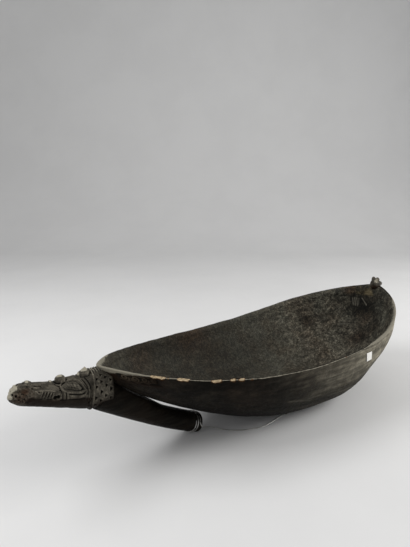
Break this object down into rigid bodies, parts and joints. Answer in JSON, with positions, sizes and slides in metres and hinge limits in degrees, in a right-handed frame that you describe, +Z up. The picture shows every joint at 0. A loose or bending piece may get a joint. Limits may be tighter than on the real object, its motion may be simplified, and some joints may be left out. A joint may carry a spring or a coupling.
{
  "type": "feast bowl",
  "caption": "Long carved wooden feast bowl with a crocodile-head handle at one end, a small knob at the other and a length of hanging wire.",
  "frame": {"origin": "middle of the bounding box without the free wire, on the level that the bowl stands on", "axes": "+X along the bowl from the crocodile head's snout to the tail knob, +Y across the bowl to the side away from the wire, +Z up"},
  "size_m": [0.7658, 0.264, 0.19],
  "materials": {
    "dark_wood": "carved by hand, dark smoked patina, worn lighter on the rim and raised carving",
    "raw_wood": "bare",
    "wire_steel": "plain drawn wire, dull bright",
    "label_paper": "matt, blank"
  },
  "bodies": {
    "root": {"dish": "dark_wood", "crocodile_handle": "dark_wood", "collar_dowel_near": "raw_wood", "collar_dowel_far": "raw_wood", "neck_turns": "wire_steel", "hanging_wire": "wire_steel", "wire_eye": "wire_steel", "wire_nail": "wire_steel", "paper_label": "label_paper"}
  },
  "joints": []
}
